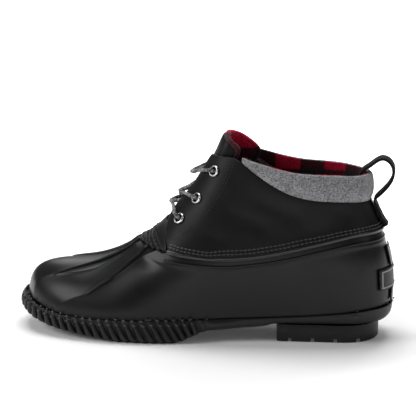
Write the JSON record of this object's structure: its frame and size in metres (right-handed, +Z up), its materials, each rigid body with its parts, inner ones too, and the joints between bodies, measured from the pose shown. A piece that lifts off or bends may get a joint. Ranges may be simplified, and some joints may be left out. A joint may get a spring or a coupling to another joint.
{
  "type": "duck boot",
  "caption": "Low duck boot for the left foot: moulded rubber shell and ribbed sole, laced leather shaft, padded felt collar, checked lining and heel pull loop.",
  "frame": {"origin": "middle of the heel's flat underside, on the ground", "axes": "+X from toe to heel, +Y to the inner side of the foot, +Z up"},
  "size_m": [0.2945, 0.1015, 0.1577],
  "materials": {
    "sole_rubber": "satin moulded",
    "shell_rubber": "satin moulded",
    "label_rubber": "matt",
    "insole_foam": "matt",
    "black_leather": "matt smooth",
    "grey_felt": "heather felt",
    "check_fleece": "brushed",
    "black_tape": "ribbed tape",
    "eyelet_metal": "satin",
    "lace_cord": "braided"
  },
  "bodies": {
    "root": {"outsole": "sole_rubber", "heel": "sole_rubber", "insole": "insole_foam", "rubber_shell": "shell_rubber", "heel_strip_low": "shell_rubber", "heel_strip_high": "shell_rubber", "heel_label": "label_rubber", "leather_upper": "black_leather", "vamp": "black_leather", "tongue": "black_leather", "collar_cuff": "grey_felt", "pull_loop": "black_tape", "eyelet_outer_1": "eyelet_metal", "eyelet_outer_2": "eyelet_metal", "eyelet_outer_3": "eyelet_metal", "eyelet_inner_1": "eyelet_metal", "eyelet_inner_2": "eyelet_metal", "eyelet_inner_3": "eyelet_metal", "lace_cross_1": "lace_cord", "lace_cross_2": "lace_cord", "lace_cross_3": "lace_cord"}
  },
  "joints": []
}
